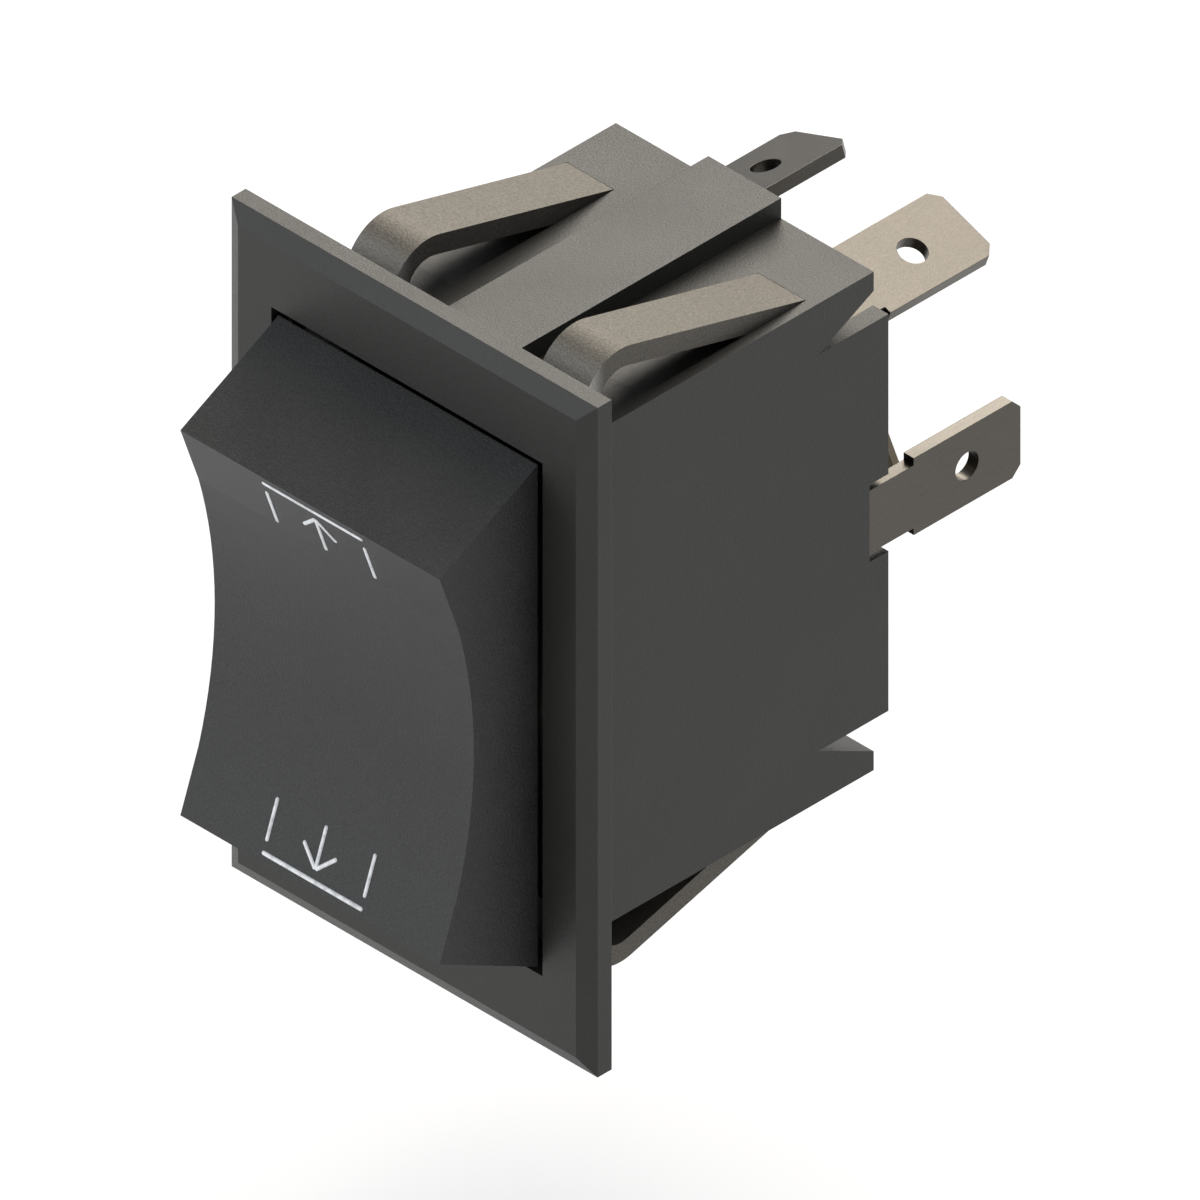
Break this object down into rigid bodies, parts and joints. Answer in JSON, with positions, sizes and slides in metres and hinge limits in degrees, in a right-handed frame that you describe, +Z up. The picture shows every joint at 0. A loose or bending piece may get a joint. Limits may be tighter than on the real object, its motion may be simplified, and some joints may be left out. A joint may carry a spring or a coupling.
{
  "type": "tongue jack switch",
  "caption": "Snap-in momentary rocker switch for a powered tongue jack, with dished rocker, spring clips and quick-connect tabs.",
  "frame": {"origin": "centre of the bezel's back face, in the panel's front plane", "axes": "+X to the right seen from the front, -Y towards the user, +Z up along the long side; +Y is into the panel"},
  "size_m": [0.0286, 0.0455, 0.0452],
  "materials": {
    "housing_plastic": "fine grain",
    "rocker_plastic": "fine grain",
    "clip_metal": "fine matt plating",
    "base_plastic": "matt",
    "plunger_plastic": "satin",
    "tab_metal": "tinned satin",
    "strap_metal": "satin",
    "strip_metal": "satin",
    "contact_silver": "satin",
    "spring_steel": "satin"
  },
  "bodies": {
    "body": {"housing": "housing_plastic", "terminal_base": "base_plastic", "terminal_top_left": "tab_metal", "terminal_top_right": "tab_metal", "terminal_mid_left": "tab_metal", "terminal_mid_right": "tab_metal", "contact_bottom_left": "tab_metal", "contact_bottom_right": "tab_metal", "jumper_high": "strap_metal", "jumper_low": "strap_metal", "fixed_buttons": "contact_silver"},
    "rocker": {"rocker": "rocker_plastic", "plunger_spring_left": "spring_steel", "plunger_spring_right": "spring_steel"},
    "plunger_left": {"plunger_left": "plunger_plastic"},
    "plunger_right": {"plunger_right": "plunger_plastic"},
    "contactor_left": {"contactor_left": "strip_metal", "contactor_buttons_left": "contact_silver"},
    "contactor_right": {"contactor_right": "strip_metal", "contactor_buttons_right": "contact_silver"},
    "clip_top_left": {"clip_top_left": "clip_metal"},
    "clip_top_right": {"clip_top_right": "clip_metal"},
    "clip_bottom_left": {"clip_bottom_left": "clip_metal"},
    "clip_bottom_right": {"clip_bottom_right": "clip_metal"}
  },
  "joints": [
    {"name": "rocker_tilt", "type": "hinge", "parent": "body", "child": "rocker", "pos_m": [0, 0.00125, 0], "axis": [1, 0, 0], "range_deg": [-7, 7], "stiffness_Nm_per_rad": 0.85},
    {"name": "plunger_left_stroke", "type": "slide", "parent": "rocker", "child": "plunger_left", "axis": [0, 1, 0], "range_m": [-0.0006, 0], "stiffness_N_per_m": 300, "springref_m": 0.001, "deforming": ["plunger_spring_left"]},
    {"name": "plunger_right_stroke", "type": "slide", "parent": "rocker", "child": "plunger_right", "axis": [0, 1, 0], "range_m": [-0.0006, 0], "stiffness_N_per_m": 300, "springref_m": 0.001, "deforming": ["plunger_spring_right"]},
    {"name": "contactor_left_tilt", "type": "hinge", "parent": "body", "child": "contactor_left", "pos_m": [-0.00424, 0.0129, 0], "axis": [1, 0, 0], "range_deg": [-5.7, 5.7]},
    {"name": "contactor_right_tilt", "type": "hinge", "parent": "body", "child": "contactor_right", "pos_m": [0.00424, 0.0129, 0], "axis": [1, 0, 0], "range_deg": [-5.7, 5.7]},
    {"name": "clip_top_left_flex", "type": "hinge", "parent": "body", "child": "clip_top_left", "pos_m": [-0.00749, 0.01995, 0.0155], "axis": [1, 0, 0], "range_deg": [0, 9.3], "stiffness_Nm_per_rad": 0.3},
    {"name": "clip_top_right_flex", "type": "hinge", "parent": "body", "child": "clip_top_right", "pos_m": [0.00749, 0.01995, 0.0155], "axis": [1, 0, 0], "range_deg": [0, 9.3], "stiffness_Nm_per_rad": 0.3},
    {"name": "clip_bottom_left_flex", "type": "hinge", "parent": "body", "child": "clip_bottom_left", "pos_m": [-0.00749, 0.01995, -0.0155], "axis": [-1, 0, 0], "range_deg": [0, 9.3], "stiffness_Nm_per_rad": 0.3},
    {"name": "clip_bottom_right_flex", "type": "hinge", "parent": "body", "child": "clip_bottom_right", "pos_m": [0.00749, 0.01995, -0.0155], "axis": [-1, 0, 0], "range_deg": [0, 9.3], "stiffness_Nm_per_rad": 0.3}
  ],
  "couplings": [
    {"joint": "contactor_left_tilt", "follows": "rocker_tilt", "ratio": -0.8},
    {"joint": "contactor_right_tilt", "follows": "rocker_tilt", "ratio": -0.8}
  ]
}
